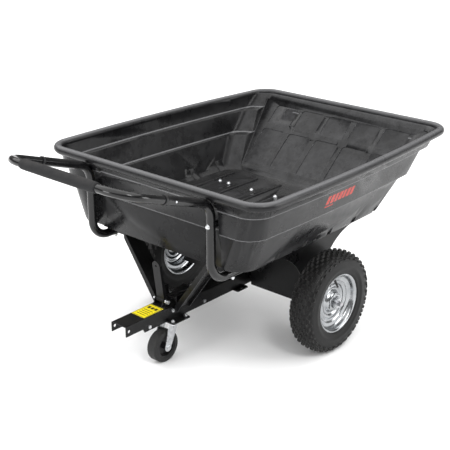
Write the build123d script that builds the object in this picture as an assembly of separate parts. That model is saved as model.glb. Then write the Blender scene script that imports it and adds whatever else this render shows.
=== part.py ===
from build123d import *
import os
from math import atan2, cos, hypot, sin

os.makedirs("parts", exist_ok=True)

# A tow behind dump cart that can also be pushed: a moulded tray on two rail
# tubes, which tips about the wheel axle, and a drawbar with a swivel caster.
# Millimetres. X is across the cart, the drawbar points to -Y and +Z is up.
# Everything is drawn from the ground under the axle, then moved along Y so
# that the origin lies under the middle of the whole cart.

# Running wheels, size 4.00-8
wheel_radius = 200
tyre_width = 104
tyre_wall = 7
rim_radius = 115
rim_width = 84
rim_well_radius = 84
rim_sheet = 2.5
hub_radius = 24
hub_length = 76
bearing_radius = 17.5
bearing_width = 11
axle_radius = 9.5
wheel_offset = 403

# Tray
rim_half_front = 517
rim_half_rear = 467
rim_front = -551
rim_rear = 665
rim_height = 742
rim_bead = 16
tray_wall = 5
tray_corner = 80
ledge_height = 603
skirt_height = 690
panel_half_width = 262
groove_half_width = 27
floor_rib_height = 7
floor_rib_width = 15
floor_rib_spacing = 128
floor_rib_front = -420
floor_rib_rear = 285
scallop_count = 5
scallop_pitch = 155
scallop_width = 26
pocket_depth = 2.5
pocket_pitch = 142
pocket_width = 118
pocket_corner = 14
lower_pocket_heights = (505, 625)
upper_pocket_heights = (642, 708)
rear_panel_top = 724
rear_panel_top_inset = 36
rear_panel_half_low = 345
rear_panel_half_high = 425

# Rail tubes and handle
rail_offset = 298
rail_radius = 16
rail_wall = 1.5
rail_height = 430
rail_front = -545
rail_rear = 300
rail_bend = 70
arm_start_height = 712
arm_slope = 0.3325
rail_end = -757
handle_front = -930
handle_radius = 14
handle_wall = 1.5
handle_bend = 95
handle_overlap = 115
grip_radius = 19
grip_half_length = 183
button_radius = 3.9
button_setback = 35
spare_hole_setback = 120

# Frame under the tray
cross_height = 24
cross_width = 60
cross_sheet = 3
cross_half_length = 330
cross_front = -434
cross_middle = -165
cross_rear = 165
floor_bolt_spacing = 125
brace_bolt_offset = 228
bracket_sheet = 4
bracket_front = -235
bracket_rear = 305
bracket_neck = 46
bracket_arch_rear = (125, 362)
bracket_arch_front = (-105, 350)
beam_height = 70
beam_half_depth = 40
beam_inner_end = 50
beam_drop = 29

# Braces between the tray and the drawbar
brace_width = 70
brace_sheet = 4
brace_lip = 14
brace_gap = 10
brace_foot_bottom = 205
brace_foot_top = 270
brace_kink = 224

# Drawbar
drawbar_half_width = 38
drawbar_sheet = 3
drawbar_top = 230
drawbar_bottom = 175
drawbar_mouth_bottom = 190
drawbar_front = -705
drawbar_step = -622
drawbar_rear = 22
hitch_hole_radius = 6
hitch_hole_setback = 15
hitch_hole_height = 208
label_length = 98
label_border = 2
drawbar_bolt_low = 190
drawbar_bolt_high = 212

# Latch
latch_pivot_y = -492
latch_pivot_z = 250
latch_height = 162
latch_lean = 8
latch_half_width = 18
pedal_rear = -352
pedal_length = 62
stud_y = -455
stud_z = 252
stud_radius = 5
stud_overhang = 16.4

# Caster
caster_y = -455
caster_trail = 35
caster_radius = 62.5
caster_width = 44
caster_fork_half = 27
caster_fork_sheet = 3
caster_leg_radius = 16
caster_plate_sheet = 3
mount_plate_sheet = 4
mount_plate_half = 70
mount_plate_length = 90

# Fasteners and fits
m8_radius = 4
m8_flats = 13
m8_head = 5.3
m8_nut = 6.5
hole_clearance = 0.5
running_fit = 0.05
air_gap = 0.3

axle_height = wheel_radius
floor_height = rail_height + rail_radius + cross_height
floor_top = floor_height + tray_wall
cart_front = handle_front - grip_radius
cart_rear = rim_rear + rim_bead
origin_shift = -(cart_front + cart_rear) / 2


# ---------------------------------------------------------------- helpers

def box(x0, x1, y0, y1, z0, z1):
    """Block between two opposite corners."""
    centre = Pos((x0 + x1) / 2, (y0 + y1) / 2, (z0 + z1) / 2)
    return centre * Box(abs(x1 - x0), abs(y1 - y0), abs(z1 - z0))


def rod(radius, start, end):
    """Round bar from start to end."""
    along = Vector(*end) - Vector(*start)
    return Solid.make_cylinder(radius, along.length, Plane(start, z_dir=along))


def pipe(outer, inner, start, end):
    """Round bar with a round hole right through it."""
    return rod(outer, start, end) - rod(inner, start, end)


def hexagon(flats, start, end):
    """Six-sided bar from start to end."""
    along = Vector(*end) - Vector(*start)
    outline = Plane(start, z_dir=along) * RegularPolygon(flats / 2, 6, major_radius=False)
    return extrude(outline, amount=along.length)


def plate_x(points, x0, x1):
    """Plate whose outline is given as (y, z), from x0 to x1."""
    outline = make_face(Polyline(*[(x0, y, z) for y, z in points], close=True))
    return extrude(outline, amount=x1 - x0, dir=(1, 0, 0))


def plate_y(points, y0, y1):
    """Plate whose outline is given as (x, z), from y0 to y1."""
    outline = make_face(Polyline(*[(x, y0, z) for x, z in points], close=True))
    return extrude(outline, amount=y1 - y0, dir=(0, 1, 0))


def plate_z(points, z0, z1):
    """Plate whose outline is given as (x, y), from z0 to z1."""
    outline = make_face(Polyline(*[(x, y, z0) for x, y in points], close=True))
    return extrude(outline, amount=z1 - z0, dir=(0, 0, 1))


def other_side(shape):
    """The same shape on the other side of the cart."""
    return mirror(shape, about=Plane.YZ)


def bolt(seat, tip, round_head=False):
    """M8 bolt: the head sits on the seat and the shank ends at the tip."""
    along = (Vector(*tip) - Vector(*seat)).normalized()
    crown = Vector(*seat) - along * m8_head
    shank = rod(m8_radius, seat, tip)
    if round_head:
        head = Solid.make_cone(m8_flats * 0.7, m8_flats * 0.4, m8_head, Plane(seat, z_dir=-along))
    else:
        head = hexagon(m8_flats, seat, tuple(crown))
    return shank + head


def nut(seat, along):
    """M8 nut that sits on the seat and stands up along a direction."""
    top = tuple(Vector(*seat) + Vector(*along) * m8_nut)
    return hexagon(m8_flats, seat, top) - rod(m8_radius + running_fit, seat, top)


def hole(start, end, radius=m8_radius + hole_clearance):
    """Cutter for a clearance hole."""
    return rod(radius, start, end)


def save(name, *shapes):
    """Write one node, moved to the cart's own origin."""
    solids = [solid for shape in shapes for solid in shape.solids()]
    export_step(Pos(0, origin_shift, 0) * Compound(solids), f"parts/{name}.step")


# ---------------------------------------------------------------- tray

# Each level of the wall: height, how far it stands inside the rim's centre
# line at the front of the sides, at their rear, at the front wall and at the
# rear wall, and how far the sides bow outwards.
tray_levels = [
    (floor_height, 115, 80, 39, 330, 2),
    (floor_height + 6, 105, 70, 31, 320, 3),
    (floor_height + 16, 100, 65, 29, 313, 4),
    (ledge_height - 3, 60, 31, 24, 227, 12),
    (ledge_height + 3, 50, 21, 16, 187, 14),
    (skirt_height - 4, 36, 15, 11, 117, 20),
    (skirt_height + 4, 23, 8, 5, 73, 22),
    (rim_height, 9, 7, 2, 15, 24),
]


def outline(height, side_front, side_rear, front, rear, bow, corner):
    """Flat outline of the tray at one height: bowed sides and round corners."""
    front_half = rim_half_front - side_front
    rear_half = rim_half_rear - side_rear
    front_y = rim_front + front
    rear_y = rim_rear - rear
    middle = ((front_half + rear_half) / 2 + bow, (front_y + rear_y) / 2, height)
    right = ThreePointArc((front_half, front_y, height), middle, (rear_half, rear_y, height))
    left_middle = (-middle[0], middle[1], height)
    left = ThreePointArc((-rear_half, rear_y, height), left_middle, (-front_half, front_y, height))
    front_edge = Line((-front_half, front_y, height), (front_half, front_y, height))
    rear_edge = Line((rear_half, rear_y, height), (-rear_half, rear_y, height))
    face = make_face([front_edge, right, rear_edge, left])
    return fillet(face.vertices(), corner)


def side_at(y, height):
    """Half width of the outside of the tray at one place, between two levels."""
    for low, high in zip(tray_levels, tray_levels[1:]):
        if low[0] <= height <= high[0]:
            share = (height - low[0]) / (high[0] - low[0])
            _, front, rear, front_y, rear_y, bow = [a + share * (b - a) for a, b in zip(low, high)]
    along = (y - rim_front - front_y) / (rim_rear - rear_y - rim_front - front_y)
    half = (rim_half_front - front) * (1 - along) + (rim_half_rear - rear) * along
    return half + 4 * bow * along * (1 - along)


def tray_body(inset):
    """Solid block of the tray's outer shape, or of its inside when inset by the wall."""
    floor_level, first_bend, *upper = tray_levels
    bottom = (floor_level[0] + inset, *floor_level[1:])
    # The wall's thickness takes up the height of the first bend on the inside.
    levels = [bottom, *upper] if inset else [bottom, first_bend, *upper]
    sections = [
        outline(height, side_front + inset, side_rear + inset, front + inset,
                rear + inset, bow, tray_corner - inset)
        for height, side_front, side_rear, front, rear, bow in levels
    ]
    body = loft(sections, ruled=True) + rear_panel(inset)
    for cutter in front_cutters(inset) + scallop_cutters(inset):
        body -= cutter
    return body


def rear_slope():
    """Both ends of the rear panel's outer line, as (inset from the rim, height)."""
    low = tray_levels[2]
    return (low[4], low[0]), (rear_panel_top_inset, rear_panel_top)


def rear_panel(inset):
    """Flat sloping panel that runs across the ledges of the rear wall."""
    (low_inset, low), (high_inset, high) = rear_slope()
    front = rim_rear - low_inset - 100
    wedge = plate_x(
        [
            (front, low),
            (rim_rear - low_inset - inset, low),
            (rim_rear - high_inset - inset, high),
            (front, high),
        ],
        -rim_half_rear,
        rim_half_rear,
    )
    low_half = rear_panel_half_low - inset
    high_half = rear_panel_half_high - inset
    sides = plate_y(
        [(-low_half, low), (low_half, low), (high_half, high), (-high_half, high)], front, rim_rear
    )
    return wedge & sides


def front_cutters(inset):
    """Recess of the front wall's middle panel, and a groove for each rail tube."""
    far = rim_front - 100
    low = floor_height - 20
    panel_y = rim_front + 43
    panel_top = rim_height - 26 + inset
    panel = plate_x(
        [
            (far, low),
            (panel_y + inset, low),
            (panel_y - 3 + inset, ledge_height - 3 + inset),
            (panel_y - 10 + inset, ledge_height + 3 + inset),
            (panel_y - 16 + inset, panel_top),
            (far, panel_top),
        ],
        -panel_half_width - inset,
        panel_half_width + inset,
    )
    groove_y = panel_y + 9
    groove = plate_x(
        [
            (far, low),
            (groove_y + inset, low),
            (groove_y - 4 + inset, rim_height - 92 + inset),
            (groove_y - 49 + inset, rim_height - 22 + inset),
            (far, rim_height - 22 + inset),
        ],
        rail_offset - groove_half_width - 12 - inset,
        rail_offset + groove_half_width + inset,
    )
    return [panel, groove, other_side(groove)]


def scallop_cutters(inset):
    """Small notches along the lower edge of both sides."""
    cutters = []
    middle = (rim_front + rim_rear - tray_levels[0][4]) / 2
    for index in range(scallop_count):
        y = middle + 75 + (index - (scallop_count - 1) / 2) * scallop_pitch
        bottom = side_at(y, floor_height)
        top = floor_height + 38
        notch = plate_y(
            [
                (bottom - 12 - inset, floor_height - 1),
                (bottom + 60, floor_height - 1),
                (bottom + 60, top + inset),
                (side_at(y, top) - inset, top + inset),
                (side_at(y, top) - 10 - inset, floor_height + 22),
            ],
            y - scallop_width / 2 - inset,
            y + scallop_width / 2 + inset,
        )
        cutters += [notch, other_side(notch)]
    return cutters


def rim_bead_ring():
    """Rolled bead along the top of the tray."""
    path = outline(rim_height, 0, 0, 0, 0, tray_levels[-1][5], tray_corner).face().outer_wire()
    start = path @ 0
    section = Plane(start, z_dir=path % 0) * Circle(rim_bead)
    return sweep(section, path=path)


def floor_ribs():
    """Long raised ribs with round ends on the tray's floor."""
    length = floor_rib_rear - floor_rib_front
    middle = (floor_rib_rear + floor_rib_front) / 2
    rib = extrude(SlotOverall(length, floor_rib_width, rotation=90), amount=floor_rib_height)
    rib = chamfer(rib.faces().sort_by(Axis.Z)[-1].edges(), floor_rib_height * 0.4)
    offsets = [side * (count + 0.5) * floor_rib_spacing for side in (-1, 1) for count in range(3)]
    return [Pos(x, middle, floor_top) * rib for x in offsets]


def rear_pockets():
    """Shallow pockets in two rows on the inside of the sloping rear wall."""
    (low_inset, low), (high_inset, high) = rear_slope()
    rise, run = high - low, low_inset - high_inset
    slope = hypot(rise, run)
    pockets = []
    for bottom, top in (lower_pocket_heights, upper_pocket_heights):
        height = (bottom + top) / 2
        y = rim_rear - low_inset - tray_wall + run * (height - low) / rise
        plane = Plane((0, y, height), x_dir=(1, 0, 0), z_dir=(0, -rise / slope, run / slope))
        length = (top - bottom) * slope / rise
        for column in range(-2, 3):
            sketch = Pos(column * pocket_pitch, 0) * RectangleRounded(pocket_width, length, pocket_corner)
            pockets.append(extrude(plane * sketch, amount=pocket_depth, both=True))
    return pockets


def rail_bolt_height():
    """Height of the bolt that ties each rail tube to the front wall."""
    return rim_height - 108


def tray():
    """Moulded tray: walls with ledges, rolled rim, ribs, pockets and bosses."""
    body = tray_body(0) - tray_body(tray_wall)
    body += rim_bead_ring()
    for rib in floor_ribs():
        body += rib
    for pocket in rear_pockets():
        body -= pocket
    height = rail_bolt_height()
    boss_front = rail_front + rail_radius + air_gap
    for side in (-1, 1):
        x = side * rail_offset
        body += rod(12, (x, boss_front, height), (x, rim_front + 62, height))
        body -= hole((x, rail_front, height), (x, rim_front + 120, height))
    for x, y in floor_bolt_places() + brace_bolt_places() + tube_bolt_places():
        body -= hole((x, y, floor_height - 1), (x, y, floor_top + 1))
    return body


def floor_bolt_places():
    """Short bolts that hold the floor to the middle and rear cross channels."""
    columns = [step * floor_bolt_spacing for step in range(-2, 3)]
    return [(x, y) for y in (cross_middle, cross_rear) for x in columns]


def brace_bolt_places():
    """Long bolts through the floor, the front cross channel and each brace."""
    return [(side * brace_bolt_offset, cross_front) for side in (-1, 1)]


def tube_bolt_places():
    """Long bolts through the floor, a cross channel and each rail tube."""
    rows = (cross_front, cross_middle, cross_rear)
    return [(side * rail_offset, y) for side in (-1, 1) for y in rows]


# ---------------------------------------------------------------- rails and handle

def arm_height(y):
    """Height of the centre line of the sloping arm at one place."""
    return arm_start_height - (y - rail_front) * arm_slope


def bent_tube(points, bend, radius, wall):
    """Round tube along straight runs joined by round bends."""
    path = FilletPolyline(*points, radius=bend)
    plane = Plane(path @ 0, z_dir=path % 0)
    outside = sweep(plane * Circle(radius), path=path)
    inside = sweep(plane * Circle(radius - wall), path=path)
    return outside - inside


def bracket_bolt_places():
    """Cross bolts between each rail tube and the axle bracket beside it."""
    return (bracket_front + 35, bracket_rear - 35)


def rail_tube():
    """Right rail: under the tray, up the front wall and out to the handle."""
    points = [
        (rail_offset, rail_rear, rail_height),
        (rail_offset, rail_front, rail_height),
        (rail_offset, rail_front, arm_start_height),
        (rail_offset, rail_end, arm_height(rail_end)),
    ]
    tube = bent_tube(points, rail_bend, rail_radius, rail_wall)
    low = rail_height - 2 * rail_radius
    high = rail_height + 2 * rail_radius
    for y in (cross_front, cross_middle, cross_rear):
        tube -= hole((rail_offset, y, low), (rail_offset, y, high))
    inner = rail_offset - 2 * rail_radius
    outer = rail_offset + 2 * rail_radius
    for y in bracket_bolt_places():
        tube -= hole((inner, y, rail_height), (outer, y, rail_height))
    height = rail_bolt_height()
    front = rail_front - 2 * rail_radius
    tube -= hole((rail_offset, front, height), (rail_offset, rail_front + 2 * rail_radius, height))
    tube -= button_hole(rail_end + button_setback)
    tube -= button_hole(rail_end + spare_hole_setback)
    return tube


def button_hole(y):
    """Cutter for a snap button's hole in the outer side of the arm."""
    z = arm_height(y)
    return rod(button_radius + 0.1, (rail_offset, y, z), (rail_offset + 2 * rail_radius, y, z))


def handle_bar():
    """U-shaped handle whose ends slide into the rails."""
    start = rail_end + handle_overlap
    points = [
        (rail_offset, start, arm_height(start)),
        (rail_offset, handle_front, arm_height(handle_front)),
        (-rail_offset, handle_front, arm_height(handle_front)),
        (-rail_offset, start, arm_height(start)),
    ]
    bar = bent_tube(points, handle_bend, handle_radius, handle_wall)
    cutter = button_hole(rail_end + button_setback)
    return bar - cutter - other_side(cutter)


def arm_direction():
    """Unit step along the arm, away from the tray."""
    return Vector(0, -1, arm_slope).normalized()


def handle_collar():
    """Plastic ring that closes the gap where the handle leaves the rail."""
    start = Vector(rail_offset, rail_end, arm_height(rail_end))
    step = arm_direction()
    lip = rod(rail_radius + 1.2, tuple(start + step * 0.1), tuple(start + step * 8))
    bore = rod(handle_radius + 0.1, tuple(start - step), tuple(start + step * 9))
    return lip - bore


def foam_grip():
    """Foam sleeve on the straight front of the handle."""
    z = arm_height(handle_front)
    start = (-grip_half_length, handle_front, z)
    end = (grip_half_length, handle_front, z)
    sleeve = pipe(grip_radius, handle_radius + running_fit, start, end)
    ends = sleeve.edges().filter_by(GeomType.CIRCLE).group_by(SortBy.RADIUS)[-1]
    return fillet(ends, 2)


def snap_button():
    """Sprung button that locks the handle, with a wide foot inside the tube."""
    y = rail_end + button_setback
    z = arm_height(y)
    outer = rail_offset + rail_radius + 3.5
    stem = rod(button_radius, (rail_offset + 7, y, z), (outer, y, z))
    stem = fillet(stem.edges().sort_by(Axis.X)[-1], 1.6)
    foot = rod(5.8, (rail_offset + 7, y, z), (rail_offset + 9.2, y, z))
    return stem + foot


def rail_end_cap():
    """Plug in the rear end of the rail."""
    head = (rail_offset, rail_rear, rail_height)
    lip = rod(rail_radius, head, (rail_offset, rail_rear + 3, rail_height))
    plug = rod(rail_radius - rail_wall - running_fit, (rail_offset, rail_rear - 14, rail_height), head)
    return lip + plug


# ---------------------------------------------------------------- frame under the tray

def cross_channel(y):
    """Channel between the rails and the tray's floor, open downwards."""
    low = rail_height + rail_radius
    start, end = y - cross_width / 2, y + cross_width / 2
    body = box(-cross_half_length, cross_half_length, start, end, low, floor_height)
    body -= box(-cross_half_length - 1, cross_half_length + 1, start + cross_sheet,
                end - cross_sheet, low - 1, floor_height - cross_sheet)
    for x, bolt_y in floor_bolt_places() + brace_bolt_places() + tube_bolt_places():
        if bolt_y == y:
            body -= hole((x, y, low - 1), (x, y, floor_height + 1))
    return body


def axle_bracket():
    """Right side plate from the rail down to the axle, arched over the wheel side."""
    top = rail_height + rail_radius
    low = rail_height - 12
    inner = rail_offset + rail_radius + air_gap
    outer = inner + bracket_sheet
    neck = bracket_neck
    boss_bottom = axle_height - 32
    edges = [
        Line((inner, bracket_front, top), (inner, bracket_rear, top)),
        Line((inner, bracket_rear, top), (inner, bracket_rear, low)),
        ThreePointArc((inner, bracket_rear, low), (inner, *bracket_arch_rear),
                      (inner, neck, axle_height + 20)),
        ThreePointArc((inner, neck, axle_height + 20), (inner, 0, boss_bottom),
                      (inner, -neck, axle_height + 20)),
        ThreePointArc((inner, -neck, axle_height + 20), (inner, *bracket_arch_front),
                      (inner, bracket_front, low)),
        Line((inner, bracket_front, low), (inner, bracket_front, top)),
    ]
    plate = extrude(make_face(edges), amount=bracket_sheet, dir=(1, 0, 0))
    plate -= rod(axle_radius + running_fit, (inner - 1, 0, axle_height), (outer + 1, 0, axle_height))
    for y in bracket_bolt_places():
        plate -= hole((inner - 1, y, rail_height), (outer + 1, y, rail_height))
    return plate


def axle_beam():
    """Right half of the axle beam: a channel round the axle with a tall web plate."""
    outer = rail_offset + rail_radius
    low = axle_height - beam_drop
    high = low + beam_height
    depth = beam_half_depth
    sheet = bracket_sheet
    channel = box(beam_inner_end, outer, -depth, depth, low, high)
    channel -= box(beam_inner_end + sheet, outer + 1, -depth + sheet, depth + 1, low + sheet, high - sheet)
    top = rail_height - rail_radius - air_gap
    web = plate_y(
        [
            (beam_inner_end + 50, high),
            (outer, high),
            (outer - 12, high + 45),
            (outer, top),
            (outer - 95, top),
        ],
        -depth,
        -depth + sheet,
    )
    crease = plate_y(
        [
            (outer - 12, high + 30),
            (outer - 6, high + 36),
            (outer - 62, top),
            (outer - 74, top),
        ],
        -depth - 3,
        -depth,
    )
    body = channel + web + crease
    body -= rod(axle_radius + running_fit, (beam_inner_end - 1, 0, axle_height),
                (beam_inner_end + sheet + 1, 0, axle_height))
    for x, y in bridge_bolt_places():
        body -= hole((x, y, high - sheet - 1), (x, y, high + 1))
    return body


def bridge_bolt_places():
    """Bolts that tie the bridge plate to the top of each half beam."""
    return [(beam_inner_end + 25, y) for y in (-18, 18)]


def beam_bridge():
    """Plate over the drawbar that joins the two halves of the axle beam."""
    low = axle_height - beam_drop + beam_height
    reach = beam_inner_end + 45
    depth = beam_half_depth
    plate = box(-reach, reach, -depth, depth, low, low + bracket_sheet)
    plate += box(-reach, reach, -depth, -depth + bracket_sheet, low, low + 16)
    for x, y in bridge_bolt_places():
        for side in (-1, 1):
            plate -= hole((side * x, y, low - 1), (side * x, y, low + bracket_sheet + 1))
    return plate


def brace():
    """Right brace: foot beside the drawbar, slanting channel, flange under the tray."""
    foot_in = drawbar_half_width + brace_gap
    foot_out = foot_in + brace_sheet
    y0, y1 = cross_front - brace_width / 2, cross_front + brace_width / 2
    top = rail_height + rail_radius
    flange_low = top - brace_sheet
    knee = brace_bolt_offset - 20
    end = brace_bolt_offset + 20
    angle = atan2(flange_low - brace_kink, knee - foot_out)
    skew_x = brace_sheet / sin(angle)
    web = plate_y(
        [
            (foot_in, brace_kink),
            (foot_out, brace_kink - 4),
            (knee + skew_x, flange_low),
            (end, flange_low),
            (end, top),
            (knee - 2, top),
            (foot_in, brace_kink + 8),
        ],
        y0,
        y1,
    )
    lip_drop = brace_lip / cos(angle)
    lips = [
        plate_y(
            [
                (foot_out, brace_kink - 2),
                (foot_out, brace_kink - 2 - lip_drop * 0.5),
                (foot_out + 6, brace_kink - lip_drop * 0.6),
                (knee + 6, flange_low - lip_drop * 0.55),
                (knee + 6, flange_low),
                (knee, flange_low),
            ],
            y,
            y + cross_sheet,
        )
        for y in (y0, y1 - cross_sheet)
    ]
    ear = box(foot_in, foot_out, y0 + 5, y1 - 5, brace_foot_bottom, brace_foot_top)
    stud_in = drawbar_half_width - stud_overhang
    stud = rod(stud_radius, (stud_in, stud_y, stud_z), (foot_in + 0.5, stud_y, stud_z))
    body = web + lips[0] + lips[1] + ear + stud
    x, y = brace_bolt_offset, cross_front
    return body - hole((x, y, flange_low - 1), (x, y, top + 1))


# ---------------------------------------------------------------- drawbar and axle

def drawbar_bolt_places():
    """Bolts through both flanges of the drawbar."""
    return [(drawbar_step + 30, drawbar_bolt_low), (drawbar_step + 150, drawbar_bolt_high),
            (drawbar_step + 320, drawbar_bolt_low)]


def drawbar():
    """Inverted channel with a shallower mouth and its rear end on the axle."""
    profile = [
        (drawbar_front, drawbar_top),
        (drawbar_rear, drawbar_top),
        (drawbar_rear, drawbar_bottom),
        (drawbar_step + 8, drawbar_bottom),
        (drawbar_step, drawbar_mouth_bottom),
        (drawbar_front, drawbar_mouth_bottom),
    ]
    half = drawbar_half_width
    channel = plate_x(profile, -half, half)
    channel -= box(-half + drawbar_sheet, half - drawbar_sheet, drawbar_front - 1, drawbar_rear + 1,
                   drawbar_bottom - 1, drawbar_top - drawbar_sheet)
    long_edges = channel.edges().filter_by(Axis.Y).group_by(Axis.Z)[-1]
    channel = fillet(long_edges, 5)
    hitch_y = drawbar_front + hitch_hole_setback
    channel -= rod(hitch_hole_radius, (-half - 1, hitch_y, hitch_hole_height),
                   (half + 1, hitch_y, hitch_hole_height))
    channel -= rod(axle_radius + running_fit, (-half - 1, 0, axle_height), (half + 1, 0, axle_height))
    for y, z in drawbar_bolt_places():
        channel -= hole((-half - 1, y, z), (half + 1, y, z))
    return channel


def axle_rod():
    """Round axle with a hole near each end for its split pin."""
    end = axle_end()
    axle = rod(axle_radius, (-end, 0, axle_height), (end, 0, axle_height))
    axle = chamfer(axle.edges(), 1.5)
    for side in (-1, 1):
        x = side * (end - 10)
        axle -= rod(2.2, (x, 0, axle_height - 20), (x, 0, axle_height + 20))
    return axle


def axle_end():
    """How far the axle reaches from the middle of the cart."""
    return wheel_offset + hub_length / 2 + 20


def axle_spacers():
    """Tubes on the axle that hold the wheels and the beam in their places."""
    bore = axle_radius + running_fit
    bracket_outer = rail_offset + rail_radius + air_gap + bracket_sheet
    inner = (drawbar_half_width, beam_inner_end - air_gap)
    outer = (bracket_outer + air_gap, wheel_offset - hub_length / 2 - air_gap)
    spans = [inner, outer]
    rings = [pipe(axle_radius + 4, bore, (a, 0, axle_height), (b, 0, axle_height)) for a, b in spans]
    return rings + [other_side(ring) for ring in rings]


def axle_washers():
    """Washer outside each wheel's hub."""
    start = wheel_offset + hub_length / 2 + air_gap
    ring = pipe(18, axle_radius + running_fit, (start, 0, axle_height), (start + 3, 0, axle_height))
    return [ring, other_side(ring)]


def axle_pins():
    """Split pin through each end of the axle, with a ring head."""
    x = axle_end() - 10
    shank = rod(2.1, (x, 0, axle_height - 17), (x, 0, axle_height + 14))
    eye = Pos(x, 0, axle_height + 17) * Rot(0, 90, 0) * Torus(4, 1.6)
    pin = shank + eye
    return [pin, other_side(pin)]


def stop_plate():
    """Small plate under the drawbar, ahead of the axle."""
    y0, y1 = -130, -66
    reach = drawbar_half_width + 22
    low = drawbar_bottom - 4
    plate = box(-reach, reach, y0, y1, low, drawbar_bottom)
    plate = fillet(plate.edges().filter_by(Axis.Z), 8)
    for side in (-1, 1):
        x = side * (drawbar_half_width + 11)
        plate -= hole((x, (y0 + y1) / 2, low - 1), (x, (y0 + y1) / 2, drawbar_bottom + 1))
    return plate


def drawbar_label():
    """Plain warning-yellow plate on top of the drawbar."""
    y0 = drawbar_step + 10
    half = drawbar_half_width - drawbar_sheet - label_border
    return box(-half, half, y0, y0 + label_length, drawbar_top, drawbar_top + 0.5)


# ---------------------------------------------------------------- latch

def latch_bracket():
    """Two ears on a base plate, for the latch's pivot pin."""
    low = drawbar_top
    y0, y1 = latch_pivot_y - 20, latch_pivot_y + 18
    inner, outer = latch_half_width + 1, latch_half_width + 4
    base = box(-outer - 8, outer + 8, y0, y1, low, low + 3)
    ear = plate_x(
        [(y0, low + 3), (y1, low + 3), (y1 - 8, latch_pivot_z + 9), (y0 + 10, latch_pivot_z + 9)],
        inner,
        outer,
    )
    ear -= rod(5 + running_fit, (inner - 1, latch_pivot_y, latch_pivot_z),
               (outer + 1, latch_pivot_y, latch_pivot_z))
    return base + ear + other_side(ear)


def latch_pin():
    """Pivot pin with a round head."""
    reach = latch_half_width + 18
    pin = rod(5, (-reach, latch_pivot_y, latch_pivot_z), (reach, latch_pivot_y, latch_pivot_z))
    head = rod(7.5, (reach, latch_pivot_y, latch_pivot_z), (reach + 3, latch_pivot_y, latch_pivot_z))
    return pin + head


def latch_spring():
    """Return spring round the pin, drawn as closely wound turns."""
    start = latch_half_width + 5.5
    turns = 5
    pitch = 2.02
    return [
        Pos(start + pitch * turn, latch_pivot_y, latch_pivot_z) * Rot(0, 90, 0) * Torus(6.7, 1)
        for turn in range(turns)
    ]


def latch_lever():
    """Upright lever with a round top, a pivot barrel and an arm to the pedal."""
    half = latch_half_width
    height = latch_height
    blade = box(-half, half, -2, 2, 0, height - half)
    blade += rod(half, (0, -2, height - half), (0, 2, height - half))
    blade += box(-half, -half + 2.5, 2, 11, 0, height - half)
    blade += box(half - 2.5, half, 2, 11, 0, height - half)
    blade -= rod(4.5, (0, -5, height - half), (0, 5, height - half))
    blade = Rot(latch_lean, 0, 0) * blade
    barrel = rod(9, (-half, 0, 0), (half, 0, 0))
    pad_front = pedal_rear - pedal_length - latch_pivot_y
    arm = box(-9, 9, 4, pad_front + 8, 2, 6)
    nose = box(-30, 30, 23.5, 29, 2, 12)
    body = Pos(0, latch_pivot_y, latch_pivot_z) * (blade + barrel + arm + nose)
    bore = rod(5 + running_fit, (-half - 1, latch_pivot_y, latch_pivot_z),
               (half + 1, latch_pivot_y, latch_pivot_z))
    return body - bore


def latch_pedal():
    """Foot plate on the rear end of the latch's arm, wider at its free end."""
    front = pedal_rear - pedal_length
    low = latch_pivot_z + 6
    pad = plate_z(
        [(-15, front), (15, front), (22, pedal_rear), (-22, pedal_rear)],
        low,
        low + 3,
    )
    lip = box(-22, 22, pedal_rear - 3, pedal_rear, low + 3, low + 9)
    return pad + lip


# ---------------------------------------------------------------- caster

def caster_plate_bolt_places():
    """Bolts that hold the caster's plate to the mount plate."""
    half_length = mount_plate_length / 2 - 12
    return [(sx * (mount_plate_half - 14), caster_y + sy * half_length)
            for sx in (-1, 1) for sy in (-1, 1)]


def mount_plate():
    """Black plate welded under the drawbar's flanges."""
    half = mount_plate_half
    length = mount_plate_length / 2
    low = drawbar_bottom - mount_plate_sheet
    plate = box(-half, half, caster_y - length, caster_y + length, low, drawbar_bottom)
    plate = fillet(plate.edges().filter_by(Axis.Z), 6)
    for x, y in caster_plate_bolt_places():
        plate -= hole((x, y, low - 1), (x, y, drawbar_bottom + 1))
    return plate


def caster_top():
    """Zinc top plate with the fixed upper race and the king pin."""
    high = drawbar_bottom - mount_plate_sheet
    low = high - caster_plate_sheet
    half = mount_plate_half - 4
    length = mount_plate_length / 2 - 3
    plate = box(-half, half, caster_y - length, caster_y + length, low, high)
    plate = fillet(plate.edges().filter_by(Axis.Z), 8)
    for x, y in caster_plate_bolt_places():
        plate -= hole((x, y, low - 1), (x, y, high + 1))
    race = Solid.make_cone(26, 33, 9, Plane((0, caster_y, low - 9)))
    pin = rod(6, (0, caster_y, low - 18), (0, caster_y, low - 9))
    foot = rod(9, (0, caster_y, low - 21), (0, caster_y, low - 18))
    return plate + race + pin + foot


def crown_top():
    """Height of the top of the fork's crown, just below the fixed race."""
    return drawbar_bottom - mount_plate_sheet - caster_plate_sheet - 9 - air_gap


def caster_fork():
    """Swivelling fork: a round crown with two legs that trail to the wheel."""
    high = crown_top()
    low = high - 4
    inner = caster_fork_half
    outer = inner + caster_fork_sheet
    axle_y = caster_y - caster_trail
    crown = rod(33, (0, caster_y, low), (0, caster_y, high))
    crown -= rod(6 + running_fit, (0, caster_y, low - 1), (0, caster_y, high + 1))
    leg = plate_x(
        [
            (caster_y - 25, high - 1),
            (caster_y + 25, high - 1),
            (axle_y + caster_leg_radius, caster_radius),
            (axle_y - caster_leg_radius, caster_radius),
        ],
        inner,
        outer,
    )
    leg += rod(caster_leg_radius, (inner, axle_y, caster_radius), (outer, axle_y, caster_radius))
    leg -= rod(5 + running_fit, (inner - 1, axle_y, caster_radius), (outer + 1, axle_y, caster_radius))
    return crown + leg + other_side(leg)


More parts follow.
